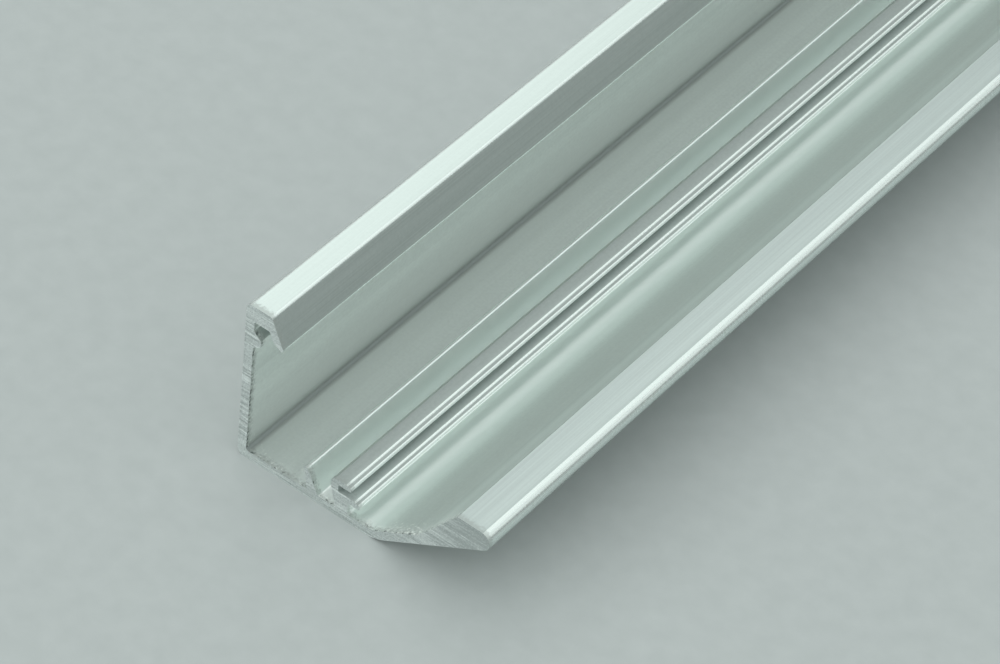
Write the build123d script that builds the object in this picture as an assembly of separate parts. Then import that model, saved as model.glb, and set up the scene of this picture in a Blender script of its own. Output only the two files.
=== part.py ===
from build123d import *
import os
from math import cos, radians, sin, tan

os.makedirs("parts", exist_ok=True)

# Millimetres and degrees. The section lies in the XZ plane, X to the right and Z up, and the stock runs
# along Y. X is measured from the wall's outer face and Z from the underside while the outline is drawn.

# Whole piece of stock
stock_length = 1000.0
overall_width = 31.2
overall_height = 21.0

# Upright wall on the left
wall_thickness = 1.1
heel_radius = 0.8
shoulder_radius = 0.7

# Flat base
base_thickness = 1.0
root_fillet = 0.3

# Thick lip on top of the wall, and the hook that hangs from it
lip_thickness = 2.0
lip_width = 3.15
lip_corner_radius = 0.45
lip_inner_fillet = 0.15
hook_lean = 26.0
hook_thickness = 1.0
hook_inner_drop = 1.2
hook_bevel_angle = 30.5
hook_tip_radius = 0.25

# Retaining rib on the wall's inner face, below the lip
rib_gap = 1.2
rib_upper_slope = 0.9
rib_nose_height = 0.8
rib_lower_slope = 0.6
rib_projection = 0.95
rib_edge_radius = 0.15

# Wing that rises from the base, and the solid nose along its outer edge
wing_angle = 31.7
wing_thickness = 1.05
bend_radius = 3.5
nose_top_height = 10.2
nose_edge_radius = 1.2
nose_flat_width = 2.9
nose_face_height = 5.85
nose_corner_radius = 0.15
nose_root_radius = 1.5

# Post with an undercut foot and two flanges that point towards the wing
bend_to_post_gap = 2.2
post_foot_thickness = 1.45
post_undercut = 0.8
post_web_thickness = 0.9
post_shoulder_chamfer = 0.45
lower_flange_clearance = 1.6
lower_flange_thickness = 0.8
lower_flange_reach = 2.78
slot_width = 0.9
upper_flange_thickness = 0.7
upper_flange_reach = 1.62
flange_tip_flat = 0.1
flange_step_height = 0.16
flange_step_setback = 0.62
slot_corner_radius = 0.12

# Fin that leans towards the wall
post_to_fin_gap = 2.3
fin_foot_thickness = 1.4
fin_rise = 2.9
fin_lean = 0.63
fin_tip_thickness = 0.52
fin_tip_flat = 0.12

# The step near a flange's tip slopes at 45 degrees, and its rounding leaves a little of the slope
flange_step_radius = 2.5 * flange_step_height
flange_step_fillet = 0.6 * flange_step_height

# Heights that several sub-parts share
lip_underside = overall_height - lip_thickness
lower_flange_underside = base_thickness + lower_flange_clearance
slot_floor = lower_flange_underside + lower_flange_thickness
slot_roof = slot_floor + slot_width
post_top = slot_roof + upper_flange_thickness


def wing_underside(height):
    """Point of the wing's straight underside at a height, carried on past the bend and the nose."""
    nose_edge = overall_width - nose_edge_radius + nose_edge_radius / tan(radians(wing_angle / 2))
    return Vector(nose_edge - (nose_top_height - height) / tan(radians(wing_angle)), height)


def wing_upper_face(height):
    """Point of the wing's upper face at a height."""
    return wing_underside(height) - Vector(wing_thickness / sin(radians(wing_angle)), 0)


# Places on the base, each measured from the one to its right
inner_bend = wing_upper_face(base_thickness)
bend_start = inner_bend.X - bend_radius * tan(radians(wing_angle / 2))
post_foot_right = bend_start - bend_to_post_gap
post_foot_left = post_foot_right - post_foot_thickness
post_left = post_foot_left - post_undercut
slot_end = post_left + post_web_thickness
fin_foot_right = post_foot_left - post_to_fin_gap
fin_foot_left = fin_foot_right - fin_foot_thickness


def crossing(point_a, direction_a, point_b, direction_b):
    """Point where two straight lines of the section cross."""
    offset = point_b - point_a
    spread = direction_a.X * direction_b.Y - direction_a.Y * direction_b.X
    travel = (offset.X * direction_b.Y - offset.Y * direction_b.X) / spread
    return point_a + direction_a * travel


def wing_corners():
    """Underside of base and wing, the nose, the wing's upper face and the inner bend, each with its radius."""
    nose_top = Vector(overall_width - nose_edge_radius - nose_flat_width, nose_top_height)
    return [
        (Vector(0, 0), heel_radius),
        (wing_underside(0), bend_radius + base_thickness),
        (wing_underside(nose_top_height), nose_edge_radius),
        (nose_top, nose_corner_radius),
        (wing_upper_face(nose_top_height - nose_face_height), nose_root_radius),
        (inner_bend, bend_radius),
    ]


def flange_tip_corners(tip, underside, top):
    """Rounded tip of a flange and the low step on its top, from the underside back to the top."""
    ledge = top - flange_step_height
    tip_radius = (ledge - underside - flange_tip_flat) / 2
    step_edge = tip - flange_step_setback
    return [
        (Vector(tip, underside), tip_radius),
        (Vector(tip, ledge), tip_radius),
        (Vector(step_edge + flange_step_height, ledge), flange_step_fillet),
        (Vector(step_edge, top), flange_step_radius),
    ]


def post_corners():
    """Foot, lower flange, slot, upper flange and chamfered shoulder of the post."""
    return [
        (Vector(post_foot_right, base_thickness), root_fillet),
        (Vector(post_foot_right, lower_flange_underside), root_fillet),
        *flange_tip_corners(slot_end + lower_flange_reach, lower_flange_underside, slot_floor),
        (Vector(slot_end, slot_floor), slot_corner_radius),
        (Vector(slot_end, slot_roof), slot_corner_radius),
        *flange_tip_corners(slot_end + upper_flange_reach, slot_roof, post_top),
        (Vector(post_left + post_shoulder_chamfer, post_top), 0),
        (Vector(post_left, post_top - post_shoulder_chamfer), 0),
        (Vector(post_left, slot_floor), 0),
        (Vector(post_foot_left, base_thickness), root_fillet),
    ]


def fin_corners():
    """Tapered fin, from its foot beside the post over the rounded tip to its foot on the wall's side."""
    tip_height = base_thickness + fin_rise
    tip_left = fin_foot_left - fin_lean
    tip_radius = (fin_tip_thickness - fin_tip_flat) / 2
    return [
        (Vector(fin_foot_right, base_thickness), root_fillet),
        (Vector(tip_left + fin_tip_thickness, tip_height), tip_radius),
        (Vector(tip_left, tip_height), tip_radius),
        (Vector(fin_foot_left, base_thickness), root_fillet),
    ]


def rib_corners():
    """Inner corner of wall and base, then the blunt rib with its two sloping flanks."""
    upper_edge = lip_underside - rib_gap
    nose_top = upper_edge - rib_upper_slope
    nose_bottom = nose_top - rib_nose_height
    rib_face = wall_thickness + rib_projection
    return [
        (Vector(wall_thickness, base_thickness), root_fillet),
        (Vector(wall_thickness, nose_bottom - rib_lower_slope), rib_edge_radius),
        (Vector(rib_face, nose_bottom), rib_edge_radius),
        (Vector(rib_face, nose_top), rib_edge_radius),
        (Vector(wall_thickness, upper_edge), rib_edge_radius),
    ]


def hook_corners():
    """Underside of the lip, the leaning hook with its bevelled tip, and the lip's two outer corners."""
    downwards = Vector(sin(radians(hook_lean)), -cos(radians(hook_lean)))
    bevel = Vector(cos(radians(hook_bevel_angle)), -sin(radians(hook_bevel_angle)))
    lip_corner = Vector(lip_width, overall_height)
    inner_face = lip_corner - Vector(hook_thickness / cos(radians(hook_lean)), 0)
    inner_root = crossing(inner_face, downwards, Vector(0, lip_underside), Vector(1, 0))
    bevel_height = Vector(0, lip_underside - hook_inner_drop)
    bevel_start = crossing(inner_face, downwards, bevel_height, Vector(1, 0))
    return [
        (Vector(wall_thickness, lip_underside), lip_inner_fillet),
        (inner_root, lip_inner_fillet),
        (bevel_start, lip_inner_fillet),
        (crossing(lip_corner, downwards, bevel_start, bevel), hook_tip_radius),
        (lip_corner, lip_corner_radius),
        (Vector(0, overall_height), shoulder_radius),
    ]


def rounded_outline(corners):
    """Closed wire through the corners, with an arc of its own radius in each corner that has one."""
    edges = []
    joints = []
    for index, (corner, radius) in enumerate(corners):
        before = (corner - corners[index - 1][0]).normalized()
        after = (corners[(index + 1) % len(corners)][0] - corner).normalized()
        reach = radius * tan(radians(before.get_angle(after) / 2))
        joints.append((corner - before * reach, corner + after * reach))
        if radius > 0:
            edges.append(TangentArc(joints[-1][0], joints[-1][1], tangent=before))
    for index, (arrival, _) in enumerate(joints):
        edges.append(Line(joints[index - 1][1], arrival))
    return Wire(edges)


def profile_section():
    """Face of the whole cross-section, centred across the width."""
    corners = wing_corners() + post_corners() + fin_corners() + rib_corners() + hook_corners()
    return Face(rounded_outline(corners)).moved(Location((-overall_width / 2, 0, 0)))


def extruded_stock():
    """Section stood up in the XZ plane and run along Y, half the length each way."""
    section = Plane.XZ * profile_section()
    return extrude(section, amount=stock_length / 2, both=True)


profile = extruded_stock()
export_step(profile, "parts/extrusion_profile.step")
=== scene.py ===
import logging
from collections import defaultdict
from dataclasses import dataclass
from enum import Enum
from math import cos, inf, pi, radians, sin, tan

import bmesh
import bpy
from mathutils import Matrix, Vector, noise


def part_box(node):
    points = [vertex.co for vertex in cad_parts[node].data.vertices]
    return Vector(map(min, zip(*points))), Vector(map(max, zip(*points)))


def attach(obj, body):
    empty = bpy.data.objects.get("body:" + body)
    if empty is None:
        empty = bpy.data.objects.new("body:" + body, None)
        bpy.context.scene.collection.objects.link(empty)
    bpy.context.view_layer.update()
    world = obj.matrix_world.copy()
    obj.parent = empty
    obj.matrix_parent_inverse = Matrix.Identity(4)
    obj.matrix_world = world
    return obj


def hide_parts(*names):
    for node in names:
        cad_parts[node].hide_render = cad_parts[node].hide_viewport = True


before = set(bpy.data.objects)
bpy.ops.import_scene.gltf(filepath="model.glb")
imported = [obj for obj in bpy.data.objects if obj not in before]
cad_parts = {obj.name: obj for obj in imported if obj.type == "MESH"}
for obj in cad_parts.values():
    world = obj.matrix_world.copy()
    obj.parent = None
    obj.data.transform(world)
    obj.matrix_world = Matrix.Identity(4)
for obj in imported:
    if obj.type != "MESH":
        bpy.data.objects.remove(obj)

# A length of extruded aluminium, photographed close up over its sawn end. Metres throughout. The section
# lies in the XZ plane and the stock runs along Y.

Colour = tuple[float, float, float, float]
Span = tuple[float, float]
Socket = bpy.types.NodeSocket

MM = 0.001
TOUCH = 0.001 * MM
NODE = "extrusion_profile"
BODY = "root"
LIGHT_COLOUR = (0.955, 1.0, 0.985)

log = logging.getLogger("extrusion")


def colour(red: float, green: float, blue: float) -> Colour:
    """Give a linear colour its alpha."""
    return (red, green, blue, 1.0)


def put_in_scene(name: str, data: bpy.types.ID) -> bpy.types.Object:
    """Make an object and put it in the scene.

    Args:
        name: Name of the object.
        data: Its mesh, lamp or camera.

    Returns:
        The object, at the origin.
    """
    made = bpy.data.objects.new(name, data)
    bpy.context.scene.collection.objects.link(made)
    return made


class Finish(Enum):
    """Finishes of the stock, in the order of the material slots."""

    SATIN = 0
    EDGE = 1
    BRUSHED = 2
    # Streaked, with painted shade in its darker colour.
    STREAKED_SHADED = 3
    # Darker copy of the satin: painted shade on the post's top, the flange tops and the ledges.
    PAINTED_SHADE = 4
    POLISHED = 5
    # Matt and darker, with painted shade in the root crease and the slot.
    MATT_SHADED = 6
    SAWN = 7


@dataclass(frozen=True)
class Corner:
    """Corner of the section.

    The place is measured across the width from the wall's outer face and upwards from the underside. A
    corner whose radius is nought stays sharp, and a bright one has a smoother, shinier arc than the faces
    beside it.
    """

    place: Vector
    radius: float = 0.0
    bright: bool = False


def crossing(point_a: Vector, direction_a: Vector, point_b: Vector, direction_b: Vector) -> Vector:
    """Find where two straight lines of the section cross.

    Args:
        point_a: A point on the first line.
        direction_a: Direction of the first line.
        point_b: A point on the second line.
        direction_b: Direction of the second line.

    Returns:
        The point that lies on both lines.
    """
    offset = point_b - point_a
    spread = direction_a.x * direction_b.y - direction_a.y * direction_b.x
    travel = (offset.x * direction_b.y - offset.y * direction_b.x) / spread
    return point_a + direction_a * travel


@dataclass(frozen=True)
class BaseAndWall:
    """Flat base and the upright wall on its left."""

    wall_thickness: float = 1.1 * MM
    base_thickness: float = 1.0 * MM
    heel_radius: float = 0.8 * MM
    shoulder_radius: float = 0.7 * MM
    root_fillet: float = 0.3 * MM


@dataclass(frozen=True)
class WingAndNose:
    """Wing that rises from the base, with the solid nose along its outer edge."""

    angle: float = radians(31.7)
    thickness: float = 1.05 * MM
    bend_radius: float = 3.5 * MM
    nose_top_height: float = 10.2 * MM
    nose_edge_radius: float = 1.2 * MM
    nose_flat_width: float = 2.9 * MM
    nose_face_height: float = 5.85 * MM
    nose_corner_radius: float = 0.15 * MM
    nose_root_radius: float = 1.5 * MM

    def underside(self, width: float, height: float) -> Vector:
        """Find the point of the wing's straight underside at a height, also past the bend and the nose."""
        edge = width - self.nose_edge_radius + self.nose_edge_radius / tan(self.angle / 2)
        return Vector((edge - (self.nose_top_height - height) / tan(self.angle), height))

    def upper_face(self, width: float, height: float) -> Vector:
        """Find the point of the wing's upper face at a height."""
        return self.underside(width, height) - Vector((self.thickness / sin(self.angle), 0))

    def corners(self, width: float, base: BaseAndWall) -> list[Corner]:
        """List the corners from the heel round the wing to the inner bend.

        Args:
            width: Overall width of the section.
            base: Base that the wing rises from.

        Returns:
            The corners, counterclockwise.
        """
        top = Vector((width - self.nose_edge_radius - self.nose_flat_width, self.nose_top_height))
        root_height = self.nose_top_height - self.nose_face_height
        return [
            Corner(Vector((0, 0)), base.heel_radius),
            Corner(self.underside(width, 0), self.bend_radius + base.base_thickness),
            Corner(self.underside(width, self.nose_top_height), self.nose_edge_radius, True),
            Corner(top, self.nose_corner_radius),
            Corner(self.upper_face(width, root_height), self.nose_root_radius),
            Corner(self.upper_face(width, base.base_thickness), self.bend_radius),
        ]


@dataclass(frozen=True)
class Post:
    """Post with an undercut foot and two flanges, which leave a slot open towards the wing."""

    gap_to_bend: float = 2.2 * MM
    foot_thickness: float = 1.45 * MM
    undercut: float = 0.8 * MM
    web_thickness: float = 0.9 * MM
    shoulder_chamfer: float = 0.45 * MM
    lower_flange_clearance: float = 1.6 * MM
    lower_flange_thickness: float = 0.8 * MM
    lower_flange_reach: float = 2.78 * MM
    slot_width: float = 0.9 * MM
    upper_flange_thickness: float = 0.7 * MM
    upper_flange_reach: float = 1.62 * MM
    tip_flat: float = 0.1 * MM
    step_height: float = 0.16 * MM
    step_setback: float = 0.62 * MM
    step_radius_share: float = 2.5
    step_fillet_share: float = 0.6
    slot_corner_radius: float = 0.12 * MM

    def slot_floor(self) -> float:
        """Give the height of the slot's floor above the base."""
        return self.lower_flange_clearance + self.lower_flange_thickness

    def height(self) -> float:
        """Give the post's height above the base."""
        return self.slot_floor() + self.slot_width + self.upper_flange_thickness

    def flange_tip(self, tip: float, underside: float, top: float) -> list[Corner]:
        """List the corners of a flange's rounded tip and of the low step on its top.

        Args:
            tip: Place of the tip across the width.
            underside: Height of the flange's underside.
            top: Height of the flange's top.

        Returns:
            The corners, counterclockwise.
        """
        ledge = top - self.step_height
        tip_radius = (ledge - underside - self.tip_flat) / 2
        step_edge = tip - self.step_setback
        return [
            Corner(Vector((tip, underside)), tip_radius),
            Corner(Vector((tip, ledge)), tip_radius, True),
            Corner(Vector((step_edge + self.step_height, ledge)), self.step_fillet_share * self.step_height),
            Corner(Vector((step_edge, top)), self.step_radius_share * self.step_height, True),
        ]

    def corners(self, foot_right: float, base: BaseAndWall) -> list[Corner]:
        """List the corners from the foot's right side over the flanges to its left side.

        Args:
            foot_right: Place of the foot's right side across the width.
            base: Base that the post stands on.

        Returns:
            The corners, counterclockwise.
        """
        foot_left = foot_right - self.foot_thickness
        left = foot_left - self.undercut
        slot_end = left + self.web_thickness
        lower_tip = slot_end + self.lower_flange_reach
        upper_tip = slot_end + self.upper_flange_reach
        underside = base.base_thickness + self.lower_flange_clearance
        slot_floor = underside + self.lower_flange_thickness
        slot_roof = slot_floor + self.slot_width
        top = slot_roof + self.upper_flange_thickness
        return [
            Corner(Vector((foot_right, base.base_thickness)), base.root_fillet),
            Corner(Vector((foot_right, underside)), base.root_fillet),
            *self.flange_tip(lower_tip, underside, slot_floor),
            Corner(Vector((slot_end, slot_floor)), self.slot_corner_radius),
            Corner(Vector((slot_end, slot_roof)), self.slot_corner_radius),
            *self.flange_tip(upper_tip, slot_roof, top),
            Corner(Vector((left + self.shoulder_chamfer, top))),
            Corner(Vector((left, top - self.shoulder_chamfer))),
            Corner(Vector((left, slot_floor))),
            Corner(Vector((foot_left, base.base_thickness)), base.root_fillet),
        ]


@dataclass(frozen=True)
class Fin:
    """Tapered fin on the base, leaning towards the wall."""

    gap_to_post: float = 2.3 * MM
    foot_thickness: float = 1.4 * MM
    rise: float = 2.9 * MM
    lean: float = 0.63 * MM
    tip_thickness: float = 0.52 * MM
    tip_flat: float = 0.12 * MM

    def corners(self, foot_right: float, base: BaseAndWall) -> list[Corner]:
        """List the corners from the foot's right side over the tip to its left side.

        Args:
            foot_right: Place of the foot's right side across the width.
            base: Base that the fin stands on.

        Returns:
            The corners, counterclockwise.
        """
        foot_left = foot_right - self.foot_thickness
        tip_left = foot_left - self.lean
        tip_height = base.base_thickness + self.rise
        tip_radius = (self.tip_thickness - self.tip_flat) / 2
        return [
            Corner(Vector((foot_right, base.base_thickness)), base.root_fillet),
            Corner(Vector((tip_left + self.tip_thickness, tip_height)), tip_radius, True),
            Corner(Vector((tip_left, tip_height)), tip_radius, True),
            Corner(Vector((foot_left, base.base_thickness)), base.root_fillet),
        ]


@dataclass(frozen=True)
class LipAndRib:
    """Thick lip on top of the wall, the hook that hangs from it, and the retaining rib below."""

    thickness: float = 2.0 * MM
    width: float = 3.15 * MM
    corner_radius: float = 0.45 * MM
    inner_fillet: float = 0.15 * MM
    hook_lean: float = radians(26.0)
    hook_thickness: float = 1.0 * MM
    hook_inner_drop: float = 1.2 * MM
    hook_bevel_angle: float = radians(30.5)
    hook_tip_radius: float = 0.25 * MM
    rib_gap: float = 1.2 * MM
    rib_upper_slope: float = 0.9 * MM
    rib_nose_height: float = 0.8 * MM
    rib_lower_slope: float = 0.6 * MM
    rib_projection: float = 0.95 * MM
    rib_edge_radius: float = 0.15 * MM

    def corners(self, height: float, base: BaseAndWall) -> list[Corner]:
        """List the corners from the wall's inner foot over the rib and the hook to the shoulder.

        Args:
            height: Overall height of the section.
            base: Base and wall that carry the lip.

        Returns:
            The corners, counterclockwise.
        """
        wall = base.wall_thickness
        lip_underside = height - self.thickness
        upper_edge = lip_underside - self.rib_gap
        nose_top = upper_edge - self.rib_upper_slope
        nose_bottom = nose_top - self.rib_nose_height
        rib_face = wall + self.rib_projection
        downwards = Vector((sin(self.hook_lean), -cos(self.hook_lean)))
        bevel = Vector((cos(self.hook_bevel_angle), -sin(self.hook_bevel_angle)))
        level = Vector((1, 0))
        lip_corner = Vector((self.width, height))
        inner_face = lip_corner - level * (self.hook_thickness / cos(self.hook_lean))
        inner_root = crossing(inner_face, downwards, Vector((0, lip_underside)), level)
        bevel_height = Vector((0, lip_underside - self.hook_inner_drop))
        bevel_start = crossing(inner_face, downwards, bevel_height, level)
        return [
            Corner(Vector((wall, base.base_thickness)), base.root_fillet),
            Corner(Vector((wall, nose_bottom - self.rib_lower_slope)), self.rib_edge_radius),
            Corner(Vector((rib_face, nose_bottom)), self.rib_edge_radius),
            Corner(Vector((rib_face, nose_top)), self.rib_edge_radius),
            Corner(Vector((wall, upper_edge)), self.rib_edge_radius),
            Corner(Vector((wall, lip_underside)), self.inner_fillet),
            Corner(inner_root, self.inner_fillet),
            Corner(bevel_start, self.inner_fillet),
            Corner(crossing(lip_corner, downwards, bevel_start, bevel), self.hook_tip_radius, True),
            Corner(lip_corner, self.corner_radius, True),
            Corner(Vector((0, height)), base.shoulder_radius),
        ]


@dataclass(frozen=True)
class Section:
    """Whole cross-section, put together from its forms."""

    width: float
    height: float
    base: BaseAndWall = BaseAndWall()
    wing: WingAndNose = WingAndNose()
    post: Post = Post()
    fin: Fin = Fin()
    lip: LipAndRib = LipAndRib()

    def corners(self) -> list[Corner]:
        """List all corners of the section.

        Returns:
            The corners, counterclockwise from the heel.
        """
        inner_bend = self.wing.upper_face(self.width, self.base.base_thickness)
        bend_start = inner_bend.x - self.wing.bend_radius * tan(self.wing.angle / 2)
        post_right = bend_start - self.post.gap_to_bend
        fin_right = post_right - self.post.foot_thickness - self.fin.gap_to_post
        return [
            *self.wing.corners(self.width, self.base),
            *self.post.corners(post_right, self.base),
            *self.fin.corners(fin_right, self.base),
            *self.lip.corners(self.height, self.base),
        ]


class Shader:
    """Node sheet of one material, with short calls for the nodes that the finishes share."""

    def __init__(self, name: str) -> None:
        """Start a material.

        Args:
            name: Name of the material.
        """
        self.material = bpy.data.materials.new(name)
        self.material.use_nodes = True
        self.tree = self.material.node_tree
        self.surface = self.tree.nodes["Principled BSDF"]
        self.place = self.tree.nodes.new("ShaderNodeTexCoord").outputs["Object"]

    def node(self, kind: str, inputs: dict[str | int, object], **settings: object) -> bpy.types.Node:
        """Add a node.

        Args:
            kind: Blender's name of the node's type.
            inputs: A value, or a socket to link from, for each input named.
            settings: Properties of the node itself.

        Returns:
            The new node.
        """
        made = self.tree.nodes.new(kind)
        for key, value in settings.items():
            setattr(made, key, value)
        for key, value in inputs.items():
            self.feed(made.inputs[key], value)
        return made

    def feed(self, socket: Socket, value: object) -> None:
        """Link a socket from another one, or set its value.

        Args:
            socket: Input that is fed.
            value: Output socket or plain value.
        """
        if isinstance(value, Socket):
            self.tree.links.new(value, socket)
        else:
            socket.default_value = value

    def stretched(self, scale: tuple[float, float, float]) -> Socket:
        """Scale the object's coordinates. A small factor draws the pattern out along its axis."""
        mapping = self.node("ShaderNodeMapping", {"Vector": self.place, "Scale": scale})
        return mapping.outputs["Vector"]

    def grain(self, place: Socket, size: float, detail: float = 2.0, rough: float = 0.5) -> Socket:
        """Add noise of a given size.

        Args:
            place: Coordinates that the noise is read at.
            size: Size of its features in metres.
            detail: Number of finer layers.
            rough: Share of the finer layers.

        Returns:
            The noise, about 0 to 1 with its middle at 0.5.
        """
        inputs = {"Vector": place, "Scale": 1.0 / size, "Detail": detail, "Roughness": rough}
        return self.node("ShaderNodeTexNoise", inputs).outputs["Fac"]

    def span(
        self, value: Socket, low: float, high: float, to_low: float = 0.0, to_high: float = 1.0
    ) -> Socket:
        """Carry a range of values over to another range, cut off at its ends.

        Args:
            value: Value to carry over.
            low: Value that becomes to_low.
            high: Value that becomes to_high.
            to_low: Result at the low end.
            to_high: Result at the high end.

        Returns:
            The new value.
        """
        inputs = {"Value": value, "From Min": low, "From Max": high, "To Min": to_low, "To Max": to_high}
        return self.node("ShaderNodeMapRange", inputs).outputs["Result"]

    def maths(self, operation: str, first: object, second: object) -> Socket:
        """Join two values by the operation that Blender knows by this name."""
        return self.node("ShaderNodeMath", {0: first, 1: second}, operation=operation).outputs["Value"]

    def sum(self, first: object, second: object) -> Socket:
        """Add two values."""
        return self.maths("ADD", first, second)

    def less(self, first: object, second: object) -> Socket:
        """Take the second value from the first."""
        return self.maths("SUBTRACT", first, second)

    def product(self, first: object, second: object) -> Socket:
        """Multiply two values."""
        return self.maths("MULTIPLY", first, second)

    def larger(self, first: object, second: object) -> Socket:
        """Give the larger of two values."""
        return self.maths("MAXIMUM", first, second)

    def across(self) -> Socket:
        """Measure the place across the width, from the middle towards the wing."""
        return self.node("ShaderNodeSeparateXYZ", {"Vector": self.place}).outputs["X"]

    def to_cut(self, half_length: float) -> Socket:
        """Measure the distance from the nearer sawn end, in metres."""
        along = self.node("ShaderNodeSeparateXYZ", {"Vector": self.place}).outputs["Y"]
        return self.less(half_length, self.maths("ABSOLUTE", along, 0.0))

    def from_line(self, spot: tuple[float, float, float]) -> Socket:
        """Measure the distance from a line that runs along the stock.

        Args:
            spot: The line's point at the middle of the length.

        Returns:
            The distance in metres.
        """
        flat = self.node("ShaderNodeVectorMath", {0: self.place, 1: (1.0, 0.0, 1.0)}, operation="MULTIPLY")
        gap = self.node("ShaderNodeVectorMath", {0: flat.outputs["Vector"], 1: spot}, operation="DISTANCE")
        return gap.outputs["Value"]

    def blend(self, share: object, first: object, second: object) -> Socket:
        """Mix two colours by the share of the second."""
        inputs = {0: share, 6: first, 7: second}
        return self.node("ShaderNodeMix", inputs, data_type="RGBA").outputs[2]

    def relief(self, height: object, depth: float) -> None:
        """Add fine relief from a height pattern of about 0 to 1 and its real depth in metres."""
        bump = self.node("ShaderNodeBump", {"Height": height, "Distance": depth, "Strength": 1.0})
        self.tree.links.new(bump.outputs["Normal"], self.surface.inputs["Normal"])


@dataclass(frozen=True)
class Zones:
    """Zones of the section in which the drawn finish carries painted shade or a painted lift.

    The places are measured across the width from its middle, and a fade runs from the first to the second.
    """

    wall_root: tuple[float, float, float] = (-14.5 * MM, 0.0, 1.0 * MM)
    corner_reach: float = 8.0 * MM
    root_fade: Span = (0.15 * MM, 0.8 * MM)
    root_share: float = 0.8
    wing_fade: Span = (1.9 * MM, 4.0 * MM)
    wing_share: float = 0.64
    nose_fade: Span = (8.0 * MM, 9.0 * MM)
    nose_share: float = 0.36
    fin_fade: Span = (-8.4 * MM, -8.1 * MM)
    bend_fade: Span = (1.6 * MM, 3.2 * MM)

    def painted_shade(self, sheet: Shader) -> Socket:
        """Give the share of the painted shade in the corner of wall and base and on the wing.

        Args:
            sheet: Node sheet of the material.

        Returns:
            The share, which passes 1 in the root of the corner.
        """
        from_root = sheet.from_line(self.wall_root)
        in_corner = sheet.span(from_root, 0.0, self.corner_reach, 1.0, 0.0)
        in_root = sheet.span(from_root, *self.root_fade, self.root_share, 0.0)
        on_wing = sheet.span(sheet.across(), *self.wing_fade, 0.0, self.wing_share)
        off_nose = sheet.span(sheet.across(), *self.nose_fade, 0.0, self.nose_share)
        return sheet.sum(sheet.sum(in_corner, in_root), sheet.less(on_wing, off_nose))

    def smoothed_painted_lift(self, sheet: Shader) -> Socket:
        """Give the share of the smoother strip from the fin over the base to the bend, whose brighter colour
        is a painted lift.
        """
        from_fin = sheet.span(sheet.across(), *self.fin_fade)
        return sheet.product(from_fin, sheet.span(sheet.across(), *self.bend_fade, 1.0, 0.0))


@dataclass(frozen=True)
class CutWear:
    """Wear beside the sawn ends: a ragged dull margin and pale crumbs, with dark dots of painted shadow
    under the burrs.

    A reach is measured from the cut. A mask is the range of the noise over which a mark comes up, and
    thinning moves that range, so that fewer marks show.
    """

    margin_reach: float = 0.75 * MM
    ragged_size: float = 0.3 * MM
    ragged_mask: Span = (0.3, 0.7)
    crumb: Colour = colour(0.90, 0.95, 0.91)
    crumb_size: float = 0.28 * MM
    crumb_mask: Span = (0.48, 0.60)
    crumb_share: float = 0.8
    crumb_reach: float = 4.5 * MM
    crumb_thinning: float = 0.25
    crumb_fade: Span = (-1.0 * MM, 4.0 * MM)
    # Dark dots painted as the shadows under the saw's burrs.
    burr_shadow: Colour = colour(0.13, 0.16, 0.15)
    burr_shadow_size: float = 0.3 * MM
    burr_shadow_mask: Span = (0.52, 0.62)
    burr_shadow_reach: float = 0.4 * MM
    burr_shadow_fade: Span = (-13.0 * MM, -12.0 * MM)
    side_thinning: float = 0.07

    def margin(self, sheet: Shader, to_cut: Socket) -> Socket:
        """Give the share of the ragged dull margin.

        Args:
            sheet: Node sheet of the material.
            to_cut: Distance from the nearer cut.

        Returns:
            The share, 0 to 1.
        """
        swing = 0.5 * self.margin_reach
        ragged = sheet.grain(sheet.place, self.ragged_size, 3.0, 0.6)
        edge = sheet.sum(to_cut, sheet.span(ragged, *self.ragged_mask, swing, -swing))
        return sheet.span(edge, 0.4 * self.margin_reach, self.margin_reach, 1.0, 0.0)

    def crumbs(self, sheet: Shader, to_cut: Socket) -> Socket:
        """Give the share of the pale crumbs, which lie thickest at the cut and on the wing.

        Args:
            sheet: Node sheet of the material.
            to_cut: Distance from the nearer cut.

        Returns:
            The share, 0 to 1.
        """
        pattern = sheet.grain(sheet.place, self.crumb_size, 3.0, 0.6)
        off_wing = sheet.span(sheet.across(), *self.crumb_fade, self.side_thinning, 0.0)
        thinning = sheet.sum(sheet.span(to_cut, 0.0, self.crumb_reach, 0.0, self.crumb_thinning), off_wing)
        return sheet.product(sheet.span(sheet.less(pattern, thinning), *self.crumb_mask), self.crumb_share)

    def burr_shadows(self, sheet: Shader, to_cut: Socket) -> Socket:
        """Give the share of the dark dots of painted burr shadow, which lie close to the cut and mostly on
        the wall.

        Args:
            sheet: Node sheet of the material.
            to_cut: Distance from the nearer cut.

        Returns:
            The share, 0 to 1.
        """
        beside_cut = sheet.span(to_cut, 0.3 * self.burr_shadow_reach, self.burr_shadow_reach, 1.0, 0.0)
        pattern = sheet.grain(sheet.place, self.burr_shadow_size, 1.0)
        off_wall = sheet.span(sheet.across(), *self.burr_shadow_fade, 0.0, self.side_thinning)
        return sheet.product(beside_cut, sheet.span(sheet.less(pattern, off_wall), *self.burr_shadow_mask))


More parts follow.
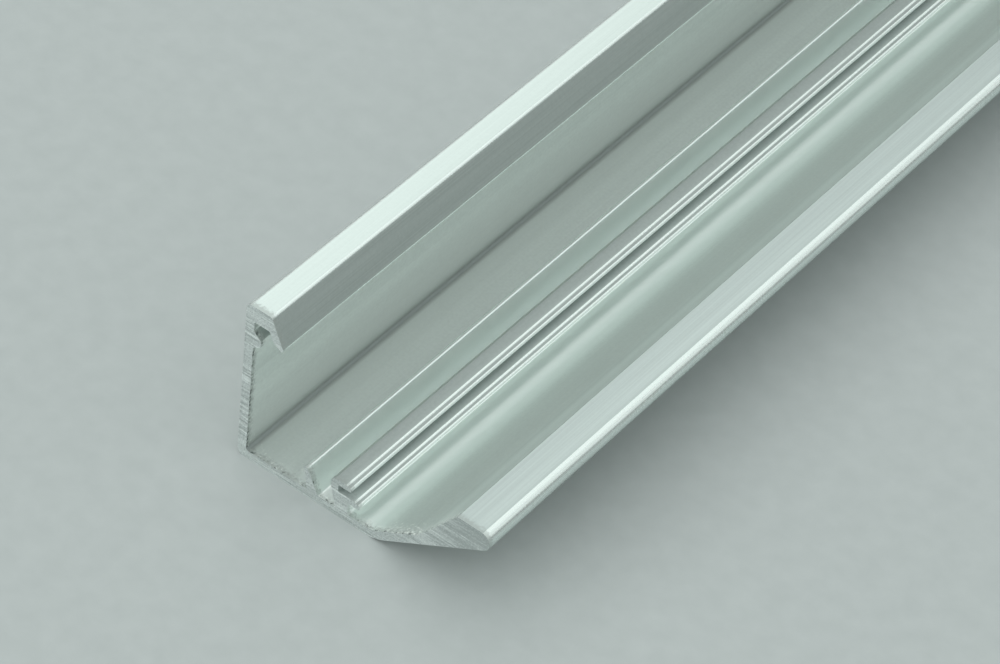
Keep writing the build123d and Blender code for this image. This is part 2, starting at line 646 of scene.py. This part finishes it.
@dataclass(frozen=True)
class DrawnFinish:
    """Finish of the drawn faces: soft etched mottling over lengthwise lines, worn beside the cuts, with
    painted shade and a painted lift in some zones.

    The weights say how much each pattern or zone counts, and a contrast is the share of a pattern's middle
    by which it swings either way.
    """

    name: str
    dark: Colour = colour(0.76, 0.81, 0.79)
    light: Colour = colour(0.91, 0.965, 0.94)
    # Colour of the painted shade in the corner, its root and on the wing; also the worn tint of the cut
    # margin.
    shade_and_wear: Colour = colour(0.50, 0.54, 0.52)
    # Brighter colour of the strip from the fin to the bend: a painted lift of the shaded channel floor.
    painted_lift_colour: Colour = colour(0.935, 0.985, 0.965)
    metallic: float = 1.0
    roughness: float = 0.42
    roughness_spread: float = 0.08
    mottle_size: float = 0.35 * MM
    mottle_weight: float = 1.0
    line_size: float = 0.16 * MM
    line_weight: float = 0.6
    band_size: float = 1.8 * MM
    band_weight: float = 0.8
    draw_out: float = 0.012
    colour_contrast: float = 0.35
    gloss_contrast: float = 0.3
    relief_depth: float = 0.0035 * MM
    zones: Zones = Zones()
    # The painted shade darkens the corner of wall and base, its root and the wing, and makes them rougher.
    painted_shade_weight: float = 0.0
    painted_shade_gloss_span: Span = (0.6, 1.0)
    painted_shade_roughness: float = 0.3
    # The painted lift brightens the channel floor from the fin to the bend and makes it smoother.
    painted_lift_weight: float = 0.0
    painted_lift_gloss: float = 0.10
    wear: CutWear = CutWear()
    # Weight of the pale crumbs and of the painted burr shadows.
    speck_weight: float = 0.0
    margin_share: float = 0.55
    wear_roughness: float = 0.22
    wear_height: float = 2.0

    def grain_middle(self) -> float:
        """Give the middle of mottling and lines together."""
        return (self.mottle_weight + self.line_weight) / 2

    def drawn_colour(self, sheet: Shader, tone: Socket, painted_shade: Socket, smoothed_painted_lift: Socket) -> Socket:
        """Colour the metal from dark to light, then paint shade and a lift into its zones.

        Args:
            sheet: Node sheet of the material.
            tone: Pattern of mottling, lines and bands.
            painted_shade: Share of the painted shade.
            smoothed_painted_lift: Share of the smoother strip with its painted lift.

        Returns:
            The colour.
        """
        middle = self.grain_middle() + self.band_weight / 2
        low = (1.0 - self.colour_contrast) * middle
        high = (1.0 + self.colour_contrast) * middle
        plain = sheet.blend(sheet.span(tone, low, high), self.dark, self.light)
        return sheet.blend(smoothed_painted_lift, sheet.blend(painted_shade, plain, self.shade_and_wear), self.painted_lift_colour)

    def drawn_roughness(self, sheet: Shader, grain: Socket, painted_shade: Socket, smoothed_painted_lift: Socket) -> Socket:
        """Vary the roughness with the grain, and from zone to zone.

        Args:
            sheet: Node sheet of the material.
            grain: Pattern of mottling and lines.
            painted_shade: Share of the painted shade, where the surface is also rougher.
            smoothed_painted_lift: Share of the smoother strip with its painted lift.

        Returns:
            The roughness.
        """
        low = (1.0 - self.gloss_contrast) * self.grain_middle()
        high = (1.0 + self.gloss_contrast) * self.grain_middle()
        smoothest = self.roughness - self.roughness_spread / 2
        roughest = self.roughness + self.roughness_spread / 2
        plain = sheet.span(grain, low, high, smoothest, roughest)
        smoothed = sheet.less(plain, sheet.product(smoothed_painted_lift, self.painted_lift_gloss))
        return sheet.sum(smoothed, sheet.span(painted_shade, *self.painted_shade_gloss_span, 0.0, self.painted_shade_roughness))

    def material(self, half_length: float) -> bpy.types.Material:
        """Build the material.

        Args:
            half_length: Distance from the middle of the stock to its cuts.

        Returns:
            The material.
        """
        sheet = Shader(self.name)
        along = sheet.stretched((1.0, self.draw_out, 1.0))
        mottle = sheet.product(sheet.grain(sheet.place, self.mottle_size, 3.0, 0.55), self.mottle_weight)
        lines = sheet.product(sheet.grain(along, self.line_size, 3.0, 0.55), self.line_weight)
        bands = sheet.product(sheet.grain(along, self.band_size, 2.0), self.band_weight)
        grain = sheet.sum(mottle, lines)
        painted_shade = sheet.product(self.zones.painted_shade(sheet), self.painted_shade_weight)
        smoothed_painted_lift = sheet.product(self.zones.smoothed_painted_lift(sheet), self.painted_lift_weight)
        to_cut = sheet.to_cut(half_length)
        margin = self.wear.margin(sheet, to_cut)
        crumbs = sheet.product(self.wear.crumbs(sheet, to_cut), self.speck_weight)
        # Painted shadows under the burrs beside the cut.
        burr_shadows = sheet.product(self.wear.burr_shadows(sheet, to_cut), self.speck_weight)

        # Painted shade and the painted lift go into the colour here; beside the cut come the worn tint, pale
        # crumbs and painted burr shadows.
        drawn = self.drawn_colour(sheet, sheet.sum(grain, bands), painted_shade, smoothed_painted_lift)
        tinted = sheet.blend(sheet.product(margin, self.margin_share), drawn, self.shade_and_wear)
        speckled = sheet.blend(crumbs, tinted, self.wear.crumb)
        sheet.feed(sheet.surface.inputs["Base Color"], sheet.blend(burr_shadows, speckled, self.wear.burr_shadow))
        sheet.feed(sheet.surface.inputs["Metallic"], sheet.less(self.metallic, crumbs))
        worn = sheet.product(sheet.larger(margin, crumbs), self.wear_roughness)
        rough = sheet.sum(self.drawn_roughness(sheet, grain, painted_shade, smoothed_painted_lift), worn)
        sheet.feed(sheet.surface.inputs["Roughness"], rough)
        raised = sheet.product(sheet.sum(crumbs, margin), self.wear_height)
        sheet.relief(sheet.sum(grain, raised), self.relief_depth)
        return sheet.material


@dataclass(frozen=True)
class SawnFinish:
    """Matt sawn face of both ends: saw lines level with the base, smeared in places, plainer on the nose."""

    name: str = "sawn_aluminium"
    dark: Colour = colour(0.50, 0.54, 0.53)
    light: Colour = colour(0.94, 0.98, 0.965)
    roughness: float = 0.48
    roughness_spread: float = 0.16
    line_size: float = 0.16 * MM
    line_mask: Span = (0.3, 0.7)
    band_size: float = 0.5 * MM
    draw_out: float = 0.04
    scratch_size: float = 0.3 * MM
    scratch_mask: Span = (0.66, 0.72)
    scratch_height: float = 0.6
    smear_size: float = 4.0 * MM
    smear_mask: Span = (0.42, 0.58)
    smear_rest: float = 0.25
    crumb_size: float = 0.2 * MM
    speck_weight: float = 0.6
    tone_mask: Span = (0.1, 0.5)
    nose_fade: Span = (8.0 * MM, 12.5 * MM)
    nose_share: float = 0.4
    line_depth: float = 0.003 * MM

    def material(self) -> bpy.types.Material:
        """Build the material.

        Returns:
            The material.
        """
        sheet = Shader(self.name)
        across = sheet.stretched((self.draw_out, 1.0, 1.0))
        lines = sheet.grain(across, self.line_size, 3.0, 0.6)
        bands = sheet.grain(across, self.band_size, 1.0)
        scratches = sheet.span(sheet.grain(across, self.scratch_size, 2.0), *self.scratch_mask)
        patches = sheet.grain(sheet.place, self.smear_size, 2.0)
        smear = sheet.span(patches, *self.smear_mask, self.smear_rest, 1.0)
        crumbs = sheet.product(sheet.grain(sheet.place, self.crumb_size, 3.0), self.speck_weight)
        striped = sheet.product(sheet.less(sheet.sum(lines, bands), 1.0), smear)
        tone = sheet.span(sheet.sum(striped, crumbs), *self.tone_mask)
        plain = sheet.span(sheet.across(), *self.nose_fade, 0.0, self.nose_share)
        scratched = sheet.sum(sheet.less(tone, plain), sheet.product(scratches, smear))
        shade = sheet.span(scratched, 0.0, 1.0)
        sheet.feed(sheet.surface.inputs["Base Color"], sheet.blend(shade, self.dark, self.light))
        sheet.surface.inputs["Metallic"].default_value = 1.0
        smoothest = self.roughness - self.roughness_spread / 2
        roughest = self.roughness + self.roughness_spread / 2
        rough = sheet.span(lines, *self.line_mask, roughest, smoothest)
        sheet.feed(sheet.surface.inputs["Roughness"], rough)
        sheet.relief(sheet.sum(striped, sheet.product(scratches, self.scratch_height)), self.line_depth)
        return sheet.material


@dataclass(frozen=True)
class FinishKit:
    """One finish for each kind of face of the stock."""

    satin: DrawnFinish = DrawnFinish(
        "satin_aluminium",
        painted_shade_weight=0.65,
        painted_lift_weight=0.9,
        speck_weight=1.0,
    )
    edge: DrawnFinish = DrawnFinish(
        "bright_edge_aluminium",
        dark=colour(0.82, 0.90, 0.87),
        light=colour(0.87, 0.955, 0.925),
        roughness=0.27,
        roughness_spread=0.04,
        mottle_weight=0.2,
        relief_depth=0.0001 * MM,
    )
    brushed: DrawnFinish = DrawnFinish(
        "brushed_aluminium",
        dark=colour(0.49, 0.555, 0.54),
        light=colour(0.62, 0.695, 0.675),
        roughness=0.38,
        mottle_weight=0.35,
        line_size=0.13 * MM,
        line_weight=1.4,
        draw_out=0.006,
        relief_depth=0.002 * MM,
    )
    # Lengthwise streaks on the hook's face, with a darker colour that paints the shade of its dim
    # reflection.
    streaked_shaded: DrawnFinish = DrawnFinish(
        "streaked_shaded_aluminium",
        dark=colour(0.46, 0.51, 0.49),
        light=colour(0.62, 0.67, 0.65),
        roughness=0.38,
        mottle_weight=0.5,
        line_size=0.2 * MM,
        line_weight=1.2,
        draw_out=0.006,
    )
    # Darker copy of the satin: painted shade on the post's top, flange tops and ledges, which mirror the
    # dark hook and wall.
    shade_and_wear: DrawnFinish = DrawnFinish(
        "painted_shade_aluminium",
        dark=colour(0.42, 0.47, 0.455),
        light=colour(0.52, 0.57, 0.555),
        relief_depth=0.001 * MM,
    )
    polished: DrawnFinish = DrawnFinish(
        "polished_aluminium",
        dark=colour(0.67, 0.75, 0.72),
        light=colour(0.78, 0.87, 0.835),
        roughness=0.32,
        mottle_weight=0.6,
        line_weight=0.8,
        relief_depth=0.0008 * MM,
    )
    # Darker, nearly non-metallic matt copy: with its full painted shade it paints the shade of the crease in
    # the root of wall and base, and it lines the slot.
    matt_shaded: DrawnFinish = DrawnFinish(
        "matt_shaded_aluminium",
        dark=colour(0.46, 0.53, 0.51),
        light=colour(0.57, 0.64, 0.62),
        shade_and_wear=colour(0.33, 0.37, 0.36),
        metallic=0.15,
        roughness=0.5,
        relief_depth=0.001 * MM,
        painted_shade_weight=1.0,
    )
    sawn: SawnFinish = SawnFinish()

    def materials(self, half_length: float) -> dict[Finish, bpy.types.Material]:
        """Build the material of every finish.

        Args:
            half_length: Distance from the middle of the stock to its cuts.

        Returns:
            The materials, in the order of the slots.
        """
        drawn = {
            Finish.SATIN: self.satin,
            Finish.EDGE: self.edge,
            Finish.BRUSHED: self.brushed,
            Finish.STREAKED_SHADED: self.streaked_shaded,
            Finish.PAINTED_SHADE: self.shade_and_wear,
            Finish.POLISHED: self.polished,
            Finish.MATT_SHADED: self.matt_shaded,
        }
        made = {finish: maker.material(half_length) for finish, maker in drawn.items()}
        made[Finish.SAWN] = self.sawn.material()
        return made


@dataclass(frozen=True)
class Region:
    """Part of the section whose faces share a finish, bounded across the width and in height.

    Its faces also have to face a direction, by at least the cosine that is given.
    """

    finish: Finish
    left: float = -inf
    right: float = inf
    bottom: float = -inf
    top: float = inf
    facing: tuple[float, float, float] = (0.0, 0.0, 0.0)
    least: float = 0.0

    def holds(self, face: bmesh.types.BMFace) -> bool:
        """Tell whether a face lies in the region.

        Args:
            face: Face of the finished mesh.

        Returns:
            True where its middle lies inside and it faces the right way.
        """
        middle = face.calc_center_median()
        inside = self.left < middle.x < self.right and self.bottom < middle.z < self.top
        return inside and face.normal.dot(self.facing) >= self.least


@dataclass
class ExtrudedStock:
    """The whole length of stock: the section run out along Y, with both ends sawn square.

    The slot and ledge spans are places across the width, measured from the middle of the section.
    """

    section: Section
    low: Vector
    high: Vector
    finishes: FinishKit = FinishKit()
    name: str = "aluminium_stock"
    tag: str = "bright_edge"
    arc_step: float = radians(6.0)
    edge_step: float = 0.25 * MM
    rim_width: float = 0.12 * MM
    rings: tuple[float, ...] = (0.06 * MM, 0.3 * MM, 1.0 * MM, 4.0 * MM, 30.0 * MM)
    sharp_angle: float = radians(30.0)
    bright_tilt: float = radians(11.0)
    chip_spacing: float = 0.35 * MM
    chip_depth: float = 0.05 * MM
    chip_gain: float = 1.6
    chip_limit: float = 0.85
    chip_curve: float = 0.7
    end_facing: float = 0.7
    flat_facing: float = 0.5
    lean_share: float = 0.9
    slack: float = 0.02 * MM
    slot_span: Span = (-3.0 * MM, -0.7 * MM)
    ledge_span: Span = (-1.4 * MM, 0.05 * MM)

    def outline(self, mesh: bmesh.types.BMesh) -> None:
        """Draw the closed outline of the section at the near end.

        Args:
            mesh: Mesh that the outline is drawn in.
        """
        corners = self.section.corners()
        bright = mesh.edges.layers.int.new(self.tag)
        opening = None
        previous = None
        for index, corner in enumerate(corners):
            before = (corner.place - corners[index - 1].place).normalized()
            after = (corners[(index + 1) % len(corners)].place - corner.place).normalized()
            turn = before.angle(after)
            reach = corner.radius * tan(turn / 2)
            start = mesh.verts.new(self.stand_up(corner.place - before * reach))
            end = start
            if corner.radius > 0:
                side = 1 if before.x * after.y - before.y * after.x > 0 else -1
                inwards = Vector((-before.y, before.x)) * side
                centre = self.stand_up(corner.place - before * reach + inwards * corner.radius)
                steps = max(3, round(turn / self.arc_step))
                spun = bmesh.ops.spin(
                    mesh, geom=[start], cent=centre, axis=(0, -side, 0), angle=turn, steps=steps
                )
                end = next(item for item in spun["geom_last"] if isinstance(item, bmesh.types.BMVert))
                if corner.bright:
                    self.tag_arc(start, end, steps, bright)
            if previous is None:
                opening = start
            else:
                mesh.edges.new((previous, start))
            previous = end
        mesh.edges.new((previous, opening))
        bmesh.ops.remove_doubles(mesh, verts=mesh.verts, dist=TOUCH)

    def tag_arc(
        self, start: bmesh.types.BMVert, end: bmesh.types.BMVert, steps: int, layer: bmesh.types.BMLayerItem
    ) -> None:
        """Mark the edges of a bright corner's arc.

        Args:
            start: First corner of the arc.
            end: Last corner of the arc.
            steps: Number of edges in the arc.
            layer: Edge layer that holds the mark.
        """
        for _ in range(steps):
            edge = end.link_edges[0] if end.link_edges[0][layer] == 0 else end.link_edges[1]
            edge[layer] = 1
            end = edge.other_vert(end)
        if end is not start:
            raise ValueError("the arc's edges don't lead back to its start")

    def stand_up(self, place: Vector) -> Vector:
        """Stand a point of the section up at the near end of the stock."""
        return Vector((self.low.x + place.x, self.low.y, self.low.z + place.y))

    def divide(self, mesh: bmesh.types.BMesh) -> None:
        """Divide the outline's long edges, so that the rims of the ends can be chipped.

        Args:
            mesh: Mesh that holds the outline.
        """
        by_cuts = defaultdict(list)
        for edge in mesh.edges:
            cuts = int(edge.calc_length() / self.edge_step)
            if cuts:
                by_cuts[cuts].append(edge)
        for cuts in sorted(by_cuts):
            bmesh.ops.subdivide_edges(mesh, edges=by_cuts[cuts], cuts=cuts)

    def run_out(self, mesh: bmesh.types.BMesh) -> None:
        """Fill the section and run it out along the length, ring by ring.

        Args:
            mesh: Mesh that holds the outline.
        """
        bmesh.ops.contextual_create(mesh, geom=mesh.edges[:])
        face = next(iter(mesh.faces))
        length = self.high.y - self.low.y
        stations = [*self.rings, *[length - ring for ring in reversed(self.rings)], length]
        reached = 0.0
        for station in stations:
            grown = bmesh.ops.extrude_face_region(mesh, geom=[face])["geom"]
            verts = [item for item in grown if isinstance(item, bmesh.types.BMVert)]
            bmesh.ops.translate(mesh, verts=verts, vec=(0, station - reached, 0))
            if reached > 0:
                bmesh.ops.delete(mesh, geom=[face], context="FACES_ONLY")
            face = next(item for item in grown if isinstance(item, bmesh.types.BMFace))
            reached = station
        bmesh.ops.recalc_face_normals(mesh, faces=mesh.faces)

    def is_end(self, face: bmesh.types.BMFace) -> bool:
        """Tell whether a face belongs to one of the sawn ends."""
        return abs(face.normal.y) > self.end_facing

    def lies_across(self, edge: bmesh.types.BMEdge) -> bool:
        """Tell whether an edge lies in the section, not along the stock."""
        return abs(edge.verts[0].co.y - edge.verts[1].co.y) < TOUCH

    def saw_ends(self, mesh: bmesh.types.BMesh) -> None:
        """Give both sawn ends a narrow rim, chipped a little by the saw.

        Args:
            mesh: Mesh of the run-out section.
        """
        mesh.normal_update()
        ends = [face for face in mesh.faces if self.is_end(face)]
        for face in ends:
            rim = face.verts[:]
            bmesh.ops.inset_region(
                mesh, faces=[face], thickness=self.rim_width, use_even_offset=True, use_boundary=True
            )
            self.chip(rim, set(face.verts))

    def chip(self, rim: list[bmesh.types.BMVert], inner: set[bmesh.types.BMVert]) -> None:
        """Draw the corners of a rim back into the metal, each by its own small share.

        Args:
            rim: Outer corners of the rim.
            inner: Inner corners of the rim.
        """
        for corner in rim:
            neighbours = [edge.other_vert(corner) for edge in corner.link_edges]
            beside = next(neighbour for neighbour in neighbours if neighbour in inner)
            share = max(0.0, noise.noise(corner.co / self.chip_spacing)) ** self.chip_curve
            shift = (beside.co - corner.co) * min(self.chip_limit, self.chip_gain * share)
            shift.y = -self.chip_depth * share if corner.co.y > 0 else self.chip_depth * share
            corner.co += shift

    def dress(self, mesh: bmesh.types.BMesh) -> None:
        """Give each face its finish and mark the sharp edges.

        Args:
            mesh: Finished mesh.
        """
        mesh.normal_update()
        bright = mesh.edges.layers.int[self.tag]
        regions = self.regions()
        for face in mesh.faces:
            face.smooth = True
            face.material_index = self.finish_of(face, bright, regions).value
        for edge in mesh.edges:
            edge.smooth = edge.calc_face_angle(0.0) < self.sharp_angle

    def finish_of(
        self, face: bmesh.types.BMFace, bright: bmesh.types.BMLayerItem, regions: list[Region]
    ) -> Finish:
        """Choose the finish of a face.

        Args:
            face: Face of the finished mesh.
            bright: Edge layer that marks the bright corners' arcs.
            regions: Regions that have a finish of their own.

        Returns:
            Its finish.
        """
        if self.is_end(face):
            return Finish.SAWN
        tilted = face.normal.z < cos(self.bright_tilt)
        if tilted and any(edge[bright] and self.lies_across(edge) for edge in face.edges):
            return Finish.EDGE
        return next((region.finish for region in regions if region.holds(face)), Finish.SATIN)

    def regions(self) -> list[Region]:
        """List the regions that have a finish of their own.

        Returns:
            The regions. Where two hold a face, the first one counts.
        """
        base, wing, post, lip = self.section.base, self.section.wing, self.section.post, self.section.lip
        wall_face = self.low.x + base.wall_thickness
        base_top = self.low.z + base.base_thickness
        post_top = base_top + post.height()
        slot_floor = base_top + post.slot_floor()
        slot_roof = slot_floor + post.slot_width
        ledge = slot_floor - post.step_height
        half_step = post.step_height / 2
        nose_left = self.high.x - wing.nose_edge_radius - wing.nose_flat_width
        hook_left = self.low.x + lip.width - lip.corner_radius
        flat = {"facing": (0.0, 0.0, 1.0), "least": self.flat_facing}
        leaning = {"facing": (1.0, 0.0, 0.0), "least": self.lean_share * cos(lip.hook_lean)}
        return [
            Region(Finish.POLISHED, bottom=self.high.z - self.slack),
            # Painted shade: the post's top, the upper flange's top and the ledges take the darker finish.
            Region(
                Finish.PAINTED_SHADE,
                right=self.ledge_span[1],
                bottom=post_top - post.shoulder_chamfer,
                top=post_top + self.slack,
                **flat,
            ),
            Region(Finish.PAINTED_SHADE, *self.ledge_span, ledge - half_step, ledge + half_step, **flat),
            # The slot and the root of wall and base take the darker matt finish, which paints their shade.
            Region(Finish.MATT_SHADED, *self.slot_span, slot_floor - self.slack, slot_roof + self.slack),
            Region(
                Finish.MATT_SHADED, wall_face, wall_face + base.root_fillet, base_top, base_top + base.root_fillet
            ),
            Region(
                Finish.BRUSHED,
                left=nose_left - self.slack,
                bottom=wing.nose_top_height - wing.nose_edge_radius,
            ),
            # The hook's face: real streaks, with a darker colour that is painted shade.
            Region(
                Finish.STREAKED_SHADED,
                hook_left,
                self.low.x + 2 * lip.width,
                bottom=self.high.z - 2 * lip.thickness,
                **leaning,
            ),
        ]

    def build(self) -> bpy.types.Object:
        """Build the stock and put it in the CAD node's place.

        Returns:
            The new object.
        """
        mesh = bmesh.new()
        self.outline(mesh)
        self.divide(mesh)
        self.run_out(mesh)
        self.saw_ends(mesh)
        self.dress(mesh)
        data = bpy.data.meshes.new(self.name)
        mesh.to_mesh(data)
        mesh.free()
        for material in self.finishes.materials((self.high.y - self.low.y) / 2).values():
            data.materials.append(material)
        stock = put_in_scene(self.name, data)
        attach(stock, BODY)
        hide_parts(NODE)
        return stock


@dataclass(frozen=True)
class Tabletop:
    """Plain pale table that the stock lies on."""

    half_size: float = 20.0
    dark: Colour = colour(0.47, 0.51, 0.505)
    light: Colour = colour(0.50, 0.54, 0.535)
    tone_size: float = 2.5 * MM
    tone_mask: Span = (0.3, 0.7)
    roughness: float = 0.55

    def build(self) -> bpy.types.Object:
        """Build the table.

        Returns:
            The table's object.
        """
        sheet = Shader("pale_tabletop")
        tone = sheet.grain(sheet.place, self.tone_size, 4.0)
        shade = sheet.span(tone, *self.tone_mask)
        sheet.feed(sheet.surface.inputs["Base Color"], sheet.blend(shade, self.dark, self.light))
        sheet.surface.inputs["Roughness"].default_value = self.roughness
        mesh = bmesh.new()
        bmesh.ops.create_grid(mesh, x_segments=2, y_segments=2, size=self.half_size)
        data = bpy.data.meshes.new("tabletop")
        mesh.to_mesh(data)
        mesh.free()
        data.materials.append(sheet.material)
        table = put_in_scene("tabletop", data)
        return table


@dataclass(frozen=True)
class SoftLamp:
    """Large soft lamp that faces the origin.

    The bearing is measured from +Y towards +X, and the climb from the table upwards.
    """

    name: str
    bearing: float
    climb: float
    distance: float
    width: float
    depth: float
    radiance: float

    def build(self) -> bpy.types.Object:
        """Hang the lamp.

        Returns:
            The lamp's object.
        """
        lamp = bpy.data.lights.new(self.name, "AREA")
        lamp.shape = "RECTANGLE"
        lamp.size = self.width
        lamp.size_y = self.depth
        lamp.energy = self.radiance * pi * self.width * self.depth
        lamp.color = LIGHT_COLOUR
        level = cos(self.climb)
        towards = Vector((level * sin(self.bearing), level * cos(self.bearing), sin(self.climb)))
        holder = put_in_scene(self.name, lamp)
        holder.location = towards * self.distance
        holder.rotation_mode = "QUATERNION"
        holder.rotation_quaternion = towards.to_track_quat("Z", "Y")
        holder.visible_camera = False
        return holder


@dataclass(frozen=True)
class Studio:
    """Plain, soft studio light: a pale surround, panels beside and over the stock, a lamp before its end."""

    surround: float = 0.32
    lamps: tuple[SoftLamp, ...] = (
        SoftLamp("left_panel", radians(-90.0), radians(48.0), 3.2, 7.0, 1.6, 0.85),
        SoftLamp("top_panel", radians(90.0), radians(84.0), 3.2, 7.0, 4.3, 0.74),
        SoftLamp("right_panel", radians(90.0), radians(34.0), 3.2, 7.0, 1.7, 0.55),
        SoftLamp("front_lamp", radians(-155.0), radians(14.0), 3.6, 3.6, 1.7, 2.4),
    )

    def build(self) -> None:
        """Set the surround and hang the lamps."""
        world = bpy.data.worlds.new("surround")
        world.use_nodes = True
        sky = world.node_tree.nodes["Background"]
        sky.inputs["Color"].default_value = colour(*LIGHT_COLOUR)
        sky.inputs["Strength"].default_value = self.surround
        bpy.context.scene.world = world
        for lamp in self.lamps:
            lamp.build()


@dataclass(frozen=True)
class CloseUpCamera:
    """Camera of the photograph: a long lens, close above the sawn end."""

    place: tuple[float, float, float] = (0.17756, -0.75173, 0.33444)
    turn: tuple[float, float, float] = (radians(45.0655), radians(-4.8994), radians(37.9114))
    focal_length: float = 165.6
    sensor_width: float = 36.0
    clip: Span = (0.01, 100.0)

    def build(self) -> bpy.types.Object:
        """Set the camera up.

        Returns:
            The camera's object.
        """
        lens = bpy.data.cameras.new("camera")
        lens.lens = self.focal_length
        lens.sensor_width = self.sensor_width
        lens.clip_start, lens.clip_end = self.clip
        camera = put_in_scene("camera", lens)
        camera.location = self.place
        camera.rotation_euler = self.turn
        bpy.context.scene.camera = camera
        return camera


def main() -> None:
    """Build the stock, its studio and the camera."""
    logging.basicConfig(level=logging.INFO, format="%(message)s")
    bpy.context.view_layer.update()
    low, high = (Vector(corner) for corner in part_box(NODE))
    section = Section(high.x - low.x, high.z - low.z)
    stock = ExtrudedStock(section, low, high).build()
    log.info("built %s with %d faces", stock.name, len(stock.data.polygons))
    table = Tabletop().build()
    log.info("built %s", table.name)
    Studio().build()
    CloseUpCamera().build()
    bpy.context.scene.view_settings.view_transform = "Standard"


if __name__ == "__main__":
    main()
